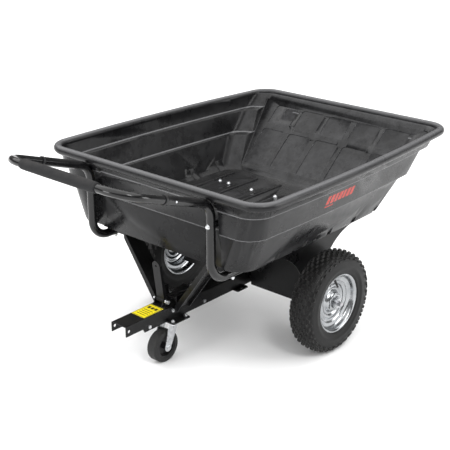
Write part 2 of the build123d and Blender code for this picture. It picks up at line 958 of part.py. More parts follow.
def caster_axle():
    """Bolt through the fork and the caster's wheel."""
    y = caster_y - caster_trail
    outer = caster_fork_half + caster_fork_sheet
    shank = rod(5, (-outer - 9, y, caster_radius), (outer, y, caster_radius))
    head = hexagon(16, (outer, y, caster_radius), (outer + 5, y, caster_radius))
    return shank + head


def caster_axle_nut():
    """Nut on the far end of the caster's bolt."""
    y = caster_y - caster_trail
    start = -caster_fork_half - caster_fork_sheet
    body = hexagon(16, (start, y, caster_radius), (start - 7, y, caster_radius))
    return body - rod(5 + running_fit, (start + 1, y, caster_radius), (start - 8, y, caster_radius))


def caster_tyre():
    """Solid rubber tread of the caster's wheel."""
    y = caster_y - caster_trail
    half = caster_width / 2
    ring = pipe(caster_radius, caster_radius * 0.7, (-half, y, caster_radius), (half, y, caster_radius))
    edges = ring.edges().filter_by(GeomType.CIRCLE).group_by(SortBy.RADIUS)[-1]
    return fillet(edges, 7)


def caster_core():
    """Plastic wheel centre with a thin web and a long hub."""
    y = caster_y - caster_trail
    z = caster_radius
    half = caster_width / 2
    outer = caster_radius * 0.7
    rim = pipe(outer, outer - 6, (-half + 2, y, z), (half - 2, y, z))
    web = rod(outer - 3, (-5, y, z), (5, y, z))
    hub_half = caster_fork_half - 1
    hub = rod(13, (-hub_half, y, z), (hub_half, y, z))
    bore = rod(9, (-hub_half - 1, y, z), (hub_half + 1, y, z))
    return rim + web + hub - bore


def caster_bush():
    """Bush between the caster's bolt and its wheel centre."""
    y = caster_y - caster_trail
    half = caster_fork_half - air_gap
    return pipe(9, 5 + running_fit, (-half, y, caster_radius), (half, y, caster_radius))


# ---------------------------------------------------------------- running wheels

def wheel_place():
    """From a wheel drawn about the X axis to its place on the right."""
    return Pos(wheel_offset, 0, axle_height)


def tyre():
    """Pneumatic tyre: a round casing with two beads on the rim."""
    half = tyre_width / 2
    wall = tyre_wall
    bead_x = rim_width / 2 - 8
    bead_r = rim_radius - 9.4
    widest_r = (wheel_radius + rim_radius) / 2
    shoulder = (half - 12, wheel_radius - 9)
    inner_shoulder = (shoulder[0] - wall - 1, shoulder[1] - wall - 4)
    neck = (bead_x + 2, bead_r + 14)
    inner_neck = (bead_x - wall - 1, bead_r + 12)

    def flip(point):
        return (-point[0], point[1])

    profile = make_face([
        Line((bead_x, bead_r), neck),
        ThreePointArc(neck, (half, widest_r), shoulder),
        ThreePointArc(shoulder, (0, wheel_radius), flip(shoulder)),
        ThreePointArc(flip(shoulder), (-half, widest_r), flip(neck)),
        Line(flip(neck), (-bead_x, bead_r)),
        Line((-bead_x, bead_r), (-bead_x + wall + 2, bead_r)),
        Line((-bead_x + wall + 2, bead_r), flip(inner_neck)),
        ThreePointArc(flip(inner_neck), (-half + wall, widest_r), flip(inner_shoulder)),
        ThreePointArc(flip(inner_shoulder), (0, wheel_radius - wall - 5), inner_shoulder),
        ThreePointArc(inner_shoulder, (half - wall, widest_r), inner_neck),
        Line(inner_neck, (bead_x - wall - 2, bead_r)),
        Line((bead_x - wall - 2, bead_r), (bead_x, bead_r)),
    ])
    return revolve(profile, axis=Axis.X)


def rim():
    """Pressed steel rim: barrel with two flanges and a dished disc."""
    edge = rim_width / 2
    seat = rim_radius - 11
    well = rim_well_radius
    half_path = [(edge, rim_radius), (edge - 4, rim_radius - 5), (edge - 6, seat), (edge - 18, seat - 2),
                 (edge - 24, well)]
    path = half_path + [(-x, r) for x, r in reversed(half_path)]
    barrel = trace(Polyline(*path), line_width=rim_sheet)
    disc_path = [(14, well), (9, well - 10), (4, well - 34), (12, well - 44), (12, hub_radius + 0.05)]
    disc = trace(FilletPolyline(*disc_path, radius=4), line_width=rim_sheet)
    hub_side = rod(hub_radius + running_fit, (-60, 0, 0), (60, 0, 0))
    wheel = revolve(barrel, axis=Axis.X) + revolve(disc, axis=Axis.X) - hub_side
    start, end = valve_ends()
    return wheel - rod(4.6, start, end)


def valve_ends():
    """Both ends of the valve stem, which leans out of the rim's well."""
    return (edge_of_well(), 0, rim_well_radius + 8), (rim_width / 2 - 4, 0, rim_well_radius - 20)


def edge_of_well():
    """Where the rim's barrel starts to rise towards its outer seat."""
    return rim_width / 2 - 24


def valve_stem():
    """Rubber valve stem with a cap."""
    start, end = valve_ends()
    along = (Vector(*end) - Vector(*start)).normalized()
    stem = rod(4.5, tuple(Vector(*start) + along * 2), tuple(Vector(*end) - along * 10))
    cap = rod(3.6, tuple(Vector(*end) - along * 10), end)
    return stem + cap


def hub():
    """Tube that holds the two bearings."""
    half = hub_length / 2
    return pipe(hub_radius, bearing_radius + running_fit, (-half, 0, 0), (half, 0, 0))


def bearings():
    """Ball bearing in each end of the hub."""
    half = hub_length / 2
    ring = pipe(bearing_radius, axle_radius + running_fit, (half - bearing_width, 0, 0), (half, 0, 0))
    return [ring, other_side(ring)]


# ---------------------------------------------------------------- write the nodes

def save_pair(name, shape):
    """Write a right-hand piece and its mirror image."""
    save(f"right_{name}", shape)
    save(f"left_{name}", other_side(shape))


save("tray", tray())
save_pair("rail_tube", rail_tube())
save("handle_bar", handle_bar())
save("handle_collars", handle_collar(), other_side(handle_collar()))
save("foam_grip", foam_grip())
save_pair("snap_button", snap_button())
save("rail_end_caps", rail_end_cap(), other_side(rail_end_cap()))
save("front_cross_channel", cross_channel(cross_front))
save("rear_cross_channels", cross_channel(cross_middle), cross_channel(cross_rear))
save_pair("axle_bracket", axle_bracket())
save_pair("axle_beam", axle_beam())
save("beam_bridge", beam_bridge())
save_pair("brace", brace())

# Bolts and nuts of the tray
web_low = floor_height - cross_sheet
tube_low = rail_height - rail_radius - air_gap
flange_low = rail_height + rail_radius - brace_sheet
floor_bolts = [bolt((x, y, floor_top), (x, y, web_low - 10), True) for x, y in floor_bolt_places()]
floor_nuts = [nut((x, y, web_low), (0, 0, -1)) for x, y in floor_bolt_places()]
save("floor_bolts", *floor_bolts)
tube_bolts = [bolt((x, y, floor_top), (x, y, tube_low - 11), True) for x, y in tube_bolt_places()]
tube_nuts = [nut((x, y, tube_low), (0, 0, -1)) for x, y in tube_bolt_places()]
save("tube_bolts", *tube_bolts)
brace_bolts = [bolt((x, y, floor_top), (x, y, flange_low - 10), True) for x, y in brace_bolt_places()]
brace_nuts = [nut((x, y, flange_low), (0, 0, -1)) for x, y in brace_bolt_places()]
save("brace_bolts", *brace_bolts)

# Bolts through the rails into the front wall, with their nuts inside the tray
wall_bolt_z = rail_bolt_height()
wall_nut_y = rim_front + 62
wall_bolts = []
wall_nuts = []
for side in (-1, 1):
    x = side * rail_offset
    head_y = rail_front - rail_radius - air_gap
    wall_bolts.append(bolt((x, head_y, wall_bolt_z), (x, wall_nut_y + 10, wall_bolt_z), True))
    wall_nuts.append(nut((x, wall_nut_y, wall_bolt_z), (0, 1, 0)))
save("front_wall_bolts", *wall_bolts)
save("tray_nuts", *floor_nuts, *tube_nuts, *brace_nuts, *wall_nuts)

# Bolts between the rails and the axle brackets
bracket_out = rail_offset + rail_radius + air_gap + bracket_sheet
bracket_in = rail_offset - rail_radius - air_gap
bracket_bolts = []
bracket_nuts = []
for y in bracket_bolt_places():
    piece = bolt((bracket_out, y, rail_height), (bracket_in - 10, y, rail_height))
    ring = nut((bracket_in, y, rail_height), (-1, 0, 0))
    bracket_bolts += [piece, other_side(piece)]
    bracket_nuts += [ring, other_side(ring)]
save("bracket_bolts", *bracket_bolts)

# Bolts between the bridge plate and the beams
beam_high = axle_height - beam_drop + beam_height
bridge_bolts = []
bridge_nuts = []
for x, y in bridge_bolt_places():
    seat = beam_high + bracket_sheet
    piece = bolt((x, y, seat), (x, y, beam_high - bracket_sheet - 10))
    ring = nut((x, y, beam_high - bracket_sheet), (0, 0, -1))
    bridge_bolts += [piece, other_side(piece)]
    bridge_nuts += [ring, other_side(ring)]
save("bridge_bolts", *bridge_bolts)
save("frame_nuts", *bracket_nuts, *bridge_nuts)

save("drawbar", drawbar())
drawbar_bolts = []
drawbar_nuts = []
for y, z in drawbar_bolt_places():
    half = drawbar_half_width
    drawbar_bolts.append(bolt((half, y, z), (-half - 10, y, z)))
    drawbar_nuts.append(nut((-half, y, z), (-1, 0, 0)))
save("drawbar_bolts", *drawbar_bolts)
save("drawbar_nuts", *drawbar_nuts)
save("drawbar_label", drawbar_label())
save("stop_plate", stop_plate())
save("axle_rod", axle_rod())
save("axle_spacers", *axle_spacers())
save("axle_washers", *axle_washers())
save("axle_pins", *axle_pins())

save("latch_bracket", latch_bracket())
save("latch_pin", latch_pin())
save("latch_spring", *latch_spring())
save("latch_lever", latch_lever())
save("latch_pedal", latch_pedal())

save("caster_mount_plate", mount_plate())
save("caster_top_plate", caster_top())
plate_low = drawbar_bottom - mount_plate_sheet - caster_plate_sheet
plate_bolts = [bolt((x, y, plate_low), (x, y, drawbar_bottom + 10)) for x, y in caster_plate_bolt_places()]
plate_nuts = [nut((x, y, drawbar_bottom), (0, 0, 1)) for x, y in caster_plate_bolt_places()]
save("caster_plate_bolts", *plate_bolts)
save("caster_plate_nuts", *plate_nuts)
save("caster_fork", caster_fork())
save("caster_axle", caster_axle())
save("caster_axle_nut", caster_axle_nut())
save("caster_tyre", caster_tyre())
save("caster_core", caster_core())
save("caster_bush", caster_bush())

place = wheel_place()
save_pair("tyre", place * tyre())
save_pair("rim", place * rim())
save_pair("hub", place * hub())
save_pair("valve_stem", place * valve_stem())
right_bearings = [place * ring for ring in bearings()]
save("right_bearings", *right_bearings)
save("left_bearings", *[other_side(ring) for ring in right_bearings])
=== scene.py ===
# %% [markdown]
# # A tow behind cart, finished piece by piece
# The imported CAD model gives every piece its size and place, and it stays as it
# is. This lesson adds what the CAD leaves plain: tyre treads, a pressed wheel
# disc, soft tray edges, a foam grip, and a surface for every material.

# %% Load the frame
from math import cos, hypot, pi, radians, sin

import bpy
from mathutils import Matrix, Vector


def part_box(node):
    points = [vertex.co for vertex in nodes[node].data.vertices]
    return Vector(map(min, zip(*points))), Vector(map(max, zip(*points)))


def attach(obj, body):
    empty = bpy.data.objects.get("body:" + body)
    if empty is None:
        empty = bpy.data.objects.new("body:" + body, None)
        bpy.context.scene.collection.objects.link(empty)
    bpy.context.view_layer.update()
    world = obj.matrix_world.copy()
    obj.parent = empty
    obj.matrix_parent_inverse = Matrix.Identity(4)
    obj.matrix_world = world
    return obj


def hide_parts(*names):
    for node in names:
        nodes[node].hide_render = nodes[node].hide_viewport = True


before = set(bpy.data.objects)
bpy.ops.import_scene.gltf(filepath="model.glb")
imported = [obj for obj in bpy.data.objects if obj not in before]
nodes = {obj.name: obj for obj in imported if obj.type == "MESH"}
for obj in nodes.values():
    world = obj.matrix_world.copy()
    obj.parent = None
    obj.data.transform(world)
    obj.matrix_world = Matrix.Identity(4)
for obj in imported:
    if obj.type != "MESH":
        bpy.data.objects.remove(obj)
bpy.context.view_layer.update()

# %% [markdown]
# Operators act on whatever is selected, so each step first selects one piece
# alone. The second helper picks faces, edges or vertices by a test on their
# place, which is what a click with the mouse would do.


# %% Selecting
def only(piece):
    """Selects one piece, and nothing else, in object mode."""
    if bpy.context.mode != "OBJECT":
        bpy.ops.object.mode_set(mode="OBJECT")
    bpy.ops.object.select_all(action="DESELECT")
    piece.select_set(True)
    bpy.context.view_layer.objects.active = piece


def pick(piece, kind, test):
    """Selects, in edit mode, each VERT, EDGE or FACE that passes the test."""
    bpy.ops.object.mode_set(mode="EDIT")
    bpy.ops.mesh.select_mode(type=kind)
    bpy.ops.mesh.select_all(action="DESELECT")
    bpy.ops.object.mode_set(mode="OBJECT")
    mesh = piece.data
    parts = {"VERT": mesh.vertices, "EDGE": mesh.edges, "FACE": mesh.polygons}[kind]
    for part in parts:
        part.select = bool(test(part))
    bpy.ops.object.mode_set(mode="EDIT")


def apply_modifier(piece, kind, **settings):
    """Adds a modifier with its settings and applies it."""
    only(piece)
    modifier = piece.modifiers.new(kind.lower(), kind)
    for name, value in settings.items():
        setattr(modifier, name, value)
    bpy.ops.object.modifier_apply(modifier=modifier.name)


def tidy(piece, smooth_angle):
    """Merges doubles, turns the faces outwards and smooths gentle edges."""
    only(piece)
    bpy.ops.object.mode_set(mode="EDIT")
    bpy.ops.mesh.select_all(action="SELECT")
    bpy.ops.mesh.remove_doubles(threshold=merge_distance)
    bpy.ops.mesh.normals_make_consistent(inside=False)
    bpy.ops.object.mode_set(mode="OBJECT")
    bpy.ops.object.shade_smooth_by_angle(angle=radians(smooth_angle))
    print(piece.name, "has", len(piece.data.polygons), "faces")


merge_distance = 0.00002
print("helpers are ready")

# %% [markdown]
# Tyres, wheel discs and the grip are all round about the X axis. They are
# turned as on a lathe: a ring is extruded to each next point of a profile and
# scaled to its radius. Spin would do the same, but here each ring stays easy
# to find by its place along the axis.


# %% Turning and copying
def turned(name, profile, sides, centre):
    """Turns a profile of (x, radius) points about an X axis through the centre."""
    x, radius = profile[0]
    bpy.ops.object.select_all(action="DESELECT")
    bpy.ops.mesh.primitive_circle_add(
        vertices=sides, radius=radius, location=centre + Vector((x, 0, 0)), rotation=(0, pi / 2, 0)
    )
    piece = bpy.context.object
    piece.name = name
    piece.data.name = name
    bpy.ops.object.transform_apply(location=True, rotation=True, scale=True)
    bpy.ops.object.mode_set(mode="EDIT")
    bpy.ops.mesh.select_mode(type="EDGE")
    bpy.ops.mesh.select_all(action="SELECT")
    for next_x, next_radius in profile[1:]:
        bpy.ops.mesh.extrude_region_move(TRANSFORM_OT_translate={"value": (next_x - x, 0, 0)})
        size = next_radius / radius
        middle = centre + Vector((next_x, 0, 0))
        bpy.ops.transform.resize(value=(1, size, size), center_override=middle)
        x, radius = next_x, next_radius
    bpy.ops.object.mode_set(mode="OBJECT")
    return piece


def joined(piece, *others):
    """Joins other pieces into one."""
    only(piece)
    for other in others:
        other.select_set(True)
    bpy.ops.object.join()
    return piece


def other_side(piece, name):
    """A copy, with its own mesh, mirrored to the other side of the cart."""
    only(piece)
    bpy.ops.object.duplicate()
    twin = bpy.context.object
    twin.name = name
    twin.data.name = name
    bpy.ops.object.mode_set(mode="EDIT")
    bpy.ops.mesh.select_all(action="SELECT")
    bpy.ops.transform.mirror(constraint_axis=(True, False, False), center_override=(0, 0, 0))
    bpy.ops.mesh.normals_make_consistent(inside=False)
    bpy.ops.object.mode_set(mode="OBJECT")
    return twin


def there_and_back(half):
    """A profile from its outer half: the half, then its mirror image back."""
    return half + [(-x, radius) for x, radius in reversed(half)]


print("lathe is ready")

# %% [markdown]
# The camera looks down over the front right corner of the cart. A long lens
# from nearly four metres keeps the tray's sides almost parallel.

# %% Camera
camera_side_angle = 41.614
camera_down_angle = 21.442
camera_distance = 3.896
camera_lens = 80.94
aim = Vector((-0.0069, 0.0025, 0.4363))

side, down = radians(camera_side_angle), radians(camera_down_angle)
look = Vector((-sin(side) * cos(down), cos(side) * cos(down), -sin(down)))
bpy.ops.object.camera_add(location=aim - look * camera_distance)
camera = bpy.context.object
camera.rotation_euler = look.to_track_quat("-Z", "Y").to_euler()
camera.data.lens = camera_lens
bpy.context.scene.camera = camera
print("camera at", [round(v, 3) for v in camera.location])

# %% [markdown]
# Dark, shiny things show their surroundings more than their own colour. A very
# wide sun is a white ceiling that lights the floor evenly out to its edge. Two
# soft boxes and a small light above give long highlights, and the world stays
# dim at the horizon, so that walls and bright metal have something dark to
# reflect.

# %% Floor and lamps
floor_size = 300
bpy.ops.mesh.primitive_plane_add(size=floor_size, location=(0, 0, 0))
floor = bpy.context.object
floor.name = "studio_floor"


def lamp(name, kind, place, target, energy):
    """A lamp that points at a target."""
    bpy.ops.object.light_add(type=kind, location=place)
    made = bpy.context.object
    made.name = name
    made.data.energy = energy
    made.rotation_euler = (Vector(target) - Vector(place)).to_track_quat("-Z", "Y").to_euler()
    return made.data


lamp("white_ceiling", "SUN", (-0.5, -0.4, 4), (0, 0, 0), 4.7).angle = radians(115)
lamp("right_box", "AREA", (3.4, 1.8, 1.5), (0, 0.2, 0.45), 60).size = 1.6
lamp("front_box", "AREA", (-0.6, -4.0, 1.3), (0, -0.2, 0.5), 40).size = 1.4
lamp("rim_light", "AREA", (2.3, -1.0, 2.7), (0.3, 0, 0.6), 26).size = 0.6

# %% [markdown]
# Materials share a few effects, so each effect is a node group that is built
# once. These two helpers add a node and a group with named inputs.


# %% Node helpers
def add(tree, kind, inputs=None, **settings):
    """Adds a node, with its settings and the values or links of its inputs."""
    made = tree.nodes.new(kind)
    for name, value in settings.items():
        setattr(made, name, value)
    for name, value in (inputs or {}).items():
        if isinstance(value, bpy.types.NodeSocket):
            tree.links.new(value, made.inputs[name])
        else:
            made.inputs[name].default_value = value
    return made


def math(tree, operation, first, second=0.0, clamp=False):
    """A Math node's result."""
    node = add(tree, "ShaderNodeMath", {0: first, 1: second}, operation=operation, use_clamp=clamp)
    return node.outputs[0]


def ramp(tree, value, low, high, to_low=0.0, to_high=1.0):
    """Value stretched from one range to another, and held at its ends."""
    node = add(
        tree,
        "ShaderNodeMapRange",
        {"Value": value, "From Min": low, "From Max": high, "To Min": to_low, "To Max": to_high},
    )
    return node.outputs["Result"]


def blend(tree, share, first, second):
    """Mix of two colours by a share."""
    node = add(tree, "ShaderNodeMix", data_type="RGBA")
    for index, value in ((0, share), (6, first), (7, second)):
        if isinstance(value, bpy.types.NodeSocket):
            tree.links.new(value, node.inputs[index])
        else:
            node.inputs[index].default_value = value
    return node.outputs[2]


def new_group(name, inputs, outputs):
    """An empty shader node group with number inputs and outputs, and its two ends."""
    group = bpy.data.node_groups.new(name, "ShaderNodeTree")
    for socket in inputs:
        group.interface.new_socket(socket, in_out="INPUT", socket_type="NodeSocketFloat")
    for socket in outputs:
        group.interface.new_socket(socket, in_out="OUTPUT", socket_type="NodeSocketFloat")
    ends = group.nodes.new("NodeGroupInput").outputs
    return group, ends, group.nodes.new("NodeGroupOutput").inputs


def place_group(tree, group, **inputs):
    """Places a group in a material, gives it its values and returns its outputs."""
    node = tree.nodes.new("ShaderNodeGroup")
    node.node_tree = group
    for name, value in inputs.items():
        node.inputs[name].default_value = value
    return node.outputs


print("node helpers are ready")

# %% [markdown]
# The world is a plain gradient: nearly black at the horizon and grey overhead.

# %% World
world = bpy.data.worlds.new("studio")
bpy.context.scene.world = world
bpy.context.scene.view_settings.view_transform = "Standard"
world.use_nodes = True
sky = world.node_tree
towards = add(sky, "ShaderNodeTexCoord").outputs["Generated"]
height = add(sky, "ShaderNodeSeparateXYZ", {0: towards}).outputs["Z"]
sky.links.new(ramp(sky, height, 0.0, 0.6, 0.10, 0.30), sky.nodes["Background"].inputs["Strength"])
sky.nodes["Background"].inputs["Color"].default_value = (1, 1, 1, 1)
print("world is", world.name)

# %% [markdown]
# Clouds are the slow changes in tone and gloss that every real surface has.
# Two noises of different size are added, so that they never look like a
# repeated pattern.

# %% Clouds
clouds, ends, out = new_group("clouds", ["Size"], ["Value"])
where = add(clouds, "ShaderNodeTexCoord").outputs["Object"]
scale = math(clouds, "DIVIDE", 1.0, ends["Size"])
wide_inputs = {"Vector": where, "Scale": scale, "Detail": 4.0, "Distortion": 0.4}
wide = add(clouds, "ShaderNodeTexNoise", wide_inputs)
finer_scale = math(clouds, "MULTIPLY", scale, 5.3)
finer = add(clouds, "ShaderNodeTexNoise", {"Vector": where, "Scale": finer_scale, "Detail": 3.0})
both = math(clouds, "MULTIPLY_ADD", finer.outputs[0], 0.35)
clouds.links.new(math(clouds, "MULTIPLY", wide.outputs[0], 0.65), both.node.inputs[2])
clouds.links.new(ramp(clouds, both, 0.36, 0.64), out["Value"])
print(clouds.name, "gives", [s.name for s in out if s.name])

# %% [markdown]
# Grain is the fine relief of a moulded or sprayed surface. It is a height for
# a Bump node: soft pebbles of one size with a little noise on them.

# %% Grain
grain, ends, out = new_group("grain", ["Size", "Pebbles"], ["Height"])
where = add(grain, "ShaderNodeTexCoord").outputs["Object"]
scale = math(grain, "DIVIDE", 1.0, ends["Size"])
cells = add(grain, "ShaderNodeTexVoronoi", {"Vector": where, "Scale": scale}, feature="SMOOTH_F1")
rough = add(grain, "ShaderNodeTexNoise", {"Vector": where, "Scale": scale, "Detail": 3.0})
pebble = math(grain, "MULTIPLY", cells.outputs["Distance"], ends["Pebbles"])
grain.links.new(math(grain, "SUBTRACT", rough.outputs[0], pebble), out["Height"])
print(grain.name, "gives", [s.name for s in out if s.name])

# %% [markdown]
# Paint and plastic rub pale along their edges, and on some finishes this pale
# edge also stands for a painted highlight. A Bevel node rounds the normal near an
# edge, so where it differs from the true normal there is an edge. A noise breaks
# the line up.

# %% Edge wear and painted sheen
edges, ends, out = new_group("edges", ["Width"], ["Mask"])
rounded = add(edges, "ShaderNodeBevel", {"Radius": ends["Width"]}, samples=4)
true_normal = add(edges, "ShaderNodeNewGeometry").outputs["Normal"]
facing = add(
    edges, "ShaderNodeVectorMath", {0: rounded.outputs[0], 1: true_normal}, operation="DOT_PRODUCT"
)
edge = ramp(edges, facing.outputs["Value"], 0.997, 0.92)
where = add(edges, "ShaderNodeTexCoord").outputs["Object"]
broken = add(edges, "ShaderNodeTexNoise", {"Vector": where, "Scale": 60.0, "Detail": 3.0})
patches = ramp(edges, broken.outputs[0], 0.42, 0.6, 0.25, 1.0)
edges.links.new(math(edges, "MULTIPLY", edge, patches), out["Mask"])
print(edges.name, "gives", [s.name for s in out if s.name])

# %% [markdown]
# Dust settles on what faces up, in uneven patches.

# %% Dust
dust, ends, out = new_group("dust", ["Amount"], ["Mask"])
normal = add(dust, "ShaderNodeNewGeometry").outputs["Normal"]
up = add(dust, "ShaderNodeSeparateXYZ", {0: normal}).outputs["Z"]
flat = ramp(dust, up, 0.2, 1.0)
where = add(dust, "ShaderNodeTexCoord").outputs["Object"]
spot_inputs = {"Vector": where, "Scale": 14.0, "Detail": 8.0, "Roughness": 0.65}
spots = add(dust, "ShaderNodeTexNoise", spot_inputs)
patches = ramp(dust, spots.outputs[0], 0.4, 0.68)
settled = math(dust, "MULTIPLY", flat, patches)
dust.links.new(math(dust, "MULTIPLY", settled, ends["Amount"]), out["Mask"])
print(dust.name, "gives", [s.name for s in out if s.name])

# %% [markdown]
# One function lays these effects over each other in the order they have on
# a real part: base colour in two tones, worn edges that on some finishes also
# carry a painted highlight, then dust. Each finish gives its own numbers, and
# numbers that never change over the surface stay on the shader itself. A large
# moulding is also a little wavy, which bends its reflections.

# %% A layered finish
dust_colour = (0.30, 0.28, 0.25, 1)
dust_roughness = 0.4
swell_scale = 16.0


def layered(name, tones, gloss, cloud_size, grain_size, grain_depth, pebbles=0.0, worn_and_sheen=None,
            wear_and_sheen=0.0, edge_width=0.0015, dust_amount=0.0, metal=0.0, coat=0.0, waviness=0.0,
            shine=0.35):
    """A material from two tones, a range of roughness, relief, pale edges of wear and painted
    sheen, and dust.
    """
    material = bpy.data.materials.new(name)
    material.use_nodes = True
    tree = material.node_tree
    shader = tree.nodes["Principled BSDF"]
    cloud = place_group(tree, clouds, Size=cloud_size)["Value"]
    colour = blend(tree, cloud, (*tones[0], 1), (*tones[1], 1))
    roughness = ramp(tree, cloud, 0.0, 1.0, gloss[0], gloss[1])
    # The pale edge tone is real wear, and on some finishes also a painted highlight along edges.
    if worn_and_sheen:
        mask = place_group(tree, edges, Width=edge_width)["Mask"]
        mask = math(tree, "MULTIPLY", mask, wear_and_sheen)
        colour = blend(tree, mask, colour, (*worn_and_sheen, 1))
    if dust_amount:
        mask = place_group(tree, dust, Amount=dust_amount)["Mask"]
        colour = blend(tree, mask, colour, dust_colour)
        dusty = math(tree, "MULTIPLY", mask, dust_roughness)
        roughness = math(tree, "ADD", dusty, roughness)
    height = place_group(tree, grain, Size=grain_size, Pebbles=pebbles)["Height"]
    relief = {"Height": height, "Strength": 1.0, "Distance": grain_depth}
    bump = add(tree, "ShaderNodeBump", relief)
    if waviness:
        where = add(tree, "ShaderNodeTexCoord").outputs["Object"]
        swell_inputs = {"Vector": where, "Scale": swell_scale, "Detail": 1.0}
        swell = add(tree, "ShaderNodeTexNoise", swell_inputs).outputs[0]
        relief = {"Height": swell, "Strength": 1.0, "Distance": waviness}
        wave = add(tree, "ShaderNodeBump", relief)
        tree.links.new(wave.outputs[0], bump.inputs["Normal"])
    tree.links.new(colour, shader.inputs["Base Color"])
    tree.links.new(roughness, shader.inputs["Roughness"])
    tree.links.new(bump.outputs[0], shader.inputs["Normal"])
    shader.inputs["Specular IOR Level"].default_value = shine
    shader.inputs["Metallic"].default_value = metal
    shader.inputs["Coat Weight"].default_value = coat
    shader.inputs["Coat Roughness"].default_value = 0.08
    return material


print("layered finish is ready")

# %% [markdown]
# The finishes themselves. Black powder coat is never quite black, zinc has
# slow bright and dull patches, and rubber is rough with a warm grey bloom. On the
# tyre and the tray the pale edge tone is a painted highlight as well as wear.

# %% Finishes
finishes = {
    "frame_paint": layered(
        "powder_coat", tones=((0.003, 0.003, 0.0032), (0.006, 0.006, 0.0064)),
        gloss=(0.26, 0.38), cloud_size=0.09, grain_size=0.0011, grain_depth=0.00008,
        worn_and_sheen=(0.10, 0.10, 0.105), wear_and_sheen=0.55, dust_amount=0.03, shine=0.2,
    ),
    "tube_paint": layered(
        "gloss_black", tones=((0.004, 0.004, 0.0043), (0.007, 0.007, 0.0075)),
        gloss=(0.14, 0.24), cloud_size=0.12, grain_size=0.0016, grain_depth=0.00004,
        worn_and_sheen=(0.08, 0.08, 0.085), wear_and_sheen=0.4, dust_amount=0.03, coat=0.2, shine=0.3,
    ),
    "zinc": layered(
        "bright_zinc", tones=((0.46, 0.47, 0.49), (0.66, 0.67, 0.68)), gloss=(0.24, 0.42),
        cloud_size=0.012, grain_size=0.0009, grain_depth=0.00003, worn_and_sheen=(0.85, 0.85, 0.86),
        wear_and_sheen=0.6, edge_width=0.0008, metal=1.0,
    ),
    "axle_steel": layered(
        "plain_steel", tones=((0.34, 0.34, 0.36), (0.52, 0.52, 0.53)), gloss=(0.26, 0.44),
        cloud_size=0.02, grain_size=0.0008, grain_depth=0.00004, worn_and_sheen=(0.75, 0.75, 0.75),
        wear_and_sheen=0.4, metal=1.0,
    ),
    "rim_chrome": layered(
        "chrome", tones=((0.26, 0.27, 0.28), (0.38, 0.39, 0.40)), gloss=(0.17, 0.28),
        cloud_size=0.06, grain_size=0.0020, grain_depth=0.00003, worn_and_sheen=(0.88, 0.88, 0.89),
        wear_and_sheen=0.6, dust_amount=0.05, metal=1.0,
    ),
    # The pale tone on the block edges is worn rubber and a painted highlight.
    "tyre_rubber": layered(
        "tyre_rubber", tones=((0.006, 0.006, 0.006), (0.011, 0.011, 0.011)), gloss=(0.40, 0.56),
        cloud_size=0.05, grain_size=0.0009, grain_depth=0.00010, pebbles=0.5,
        worn_and_sheen=(0.09, 0.089, 0.088), wear_and_sheen=1.0, dust_amount=0.02, shine=0.18,
    ),
    "caster_rubber": layered(
        "caster_rubber", tones=((0.008, 0.008, 0.008), (0.015, 0.015, 0.015)),
        gloss=(0.46, 0.64), cloud_size=0.03, grain_size=0.0008, grain_depth=0.00008,
        worn_and_sheen=(0.05, 0.05, 0.05), wear_and_sheen=0.5, dust_amount=0.10,
    ),
    "black_plastic": layered(
        "black_plastic", tones=((0.008, 0.008, 0.009), (0.014, 0.014, 0.015)),
        gloss=(0.32, 0.46), cloud_size=0.03, grain_size=0.0010, grain_depth=0.00006,
        pebbles=0.6, worn_and_sheen=(0.06, 0.06, 0.065), wear_and_sheen=0.4, dust_amount=0.06,
    ),
    "nylon": layered(
        "dark_nylon", tones=((0.016, 0.016, 0.017), (0.028, 0.028, 0.030)), gloss=(0.38, 0.52),
        cloud_size=0.03, grain_size=0.0010, grain_depth=0.00005, worn_and_sheen=(0.08, 0.08, 0.08),
        wear_and_sheen=0.4, dust_amount=0.10,
    ),
    "grip_foam": layered(
        "grip_foam", tones=((0.008, 0.008, 0.009), (0.016, 0.016, 0.017)), gloss=(0.80, 0.94),
        cloud_size=0.02, grain_size=0.0013, grain_depth=0.00035, pebbles=1.4,
        worn_and_sheen=(0.04, 0.04, 0.04), wear_and_sheen=0.4, dust_amount=0.06,
    ),
    # The pale tone on the moulded edges is wear and a painted highlight.
    "tray_plastic": layered(
        "tray_plastic", tones=((0.007, 0.007, 0.0075), (0.013, 0.013, 0.0137)),
        gloss=(0.22, 0.36), cloud_size=0.13, grain_size=0.0016, grain_depth=0.00005,
        pebbles=0.5, worn_and_sheen=(0.12, 0.12, 0.125), wear_and_sheen=0.6, edge_width=0.0018, dust_amount=0.02,
        waviness=0.0010, shine=0.20,
    ),
    "label_yellow": layered(
        "label_yellow", tones=((0.84, 0.68, 0.01), (0.90, 0.76, 0.02)), gloss=(0.34, 0.46),
        cloud_size=0.03, grain_size=0.0012, grain_depth=0.00003, worn_and_sheen=(0.95, 0.90, 0.62),
        wear_and_sheen=0.5, dust_amount=0.03,
    ),
}
print("finishes:", sorted(finishes))

# %% [markdown]
# Some marks lie over a finish: printed bars, rubbed lines, scuffs. Each is a
# mask from places along the piece's own X, Y and Z, so it needs only
# comparisons, and it is mixed over the colour that the finish already has.


# %% Marks over a finish
def within(tree, value, low, high):
    """1 where a value is between two numbers, and 0 elsewhere."""
    above = math(tree, "GREATER_THAN", value, low)
    below = math(tree, "LESS_THAN", value, high)
    return math(tree, "MULTIPLY", above, below)


def around(tree, value, middle, half):
    """1 where a value is no further than half from a middle, and 0 elsewhere."""
    return within(tree, value, middle - half, middle + half)


def object_place(tree):
    """The X, Y and Z of a place on the piece."""
    where = add(tree, "ShaderNodeTexCoord").outputs["Object"]
    return add(tree, "ShaderNodeSeparateXYZ", {0: where}).outputs


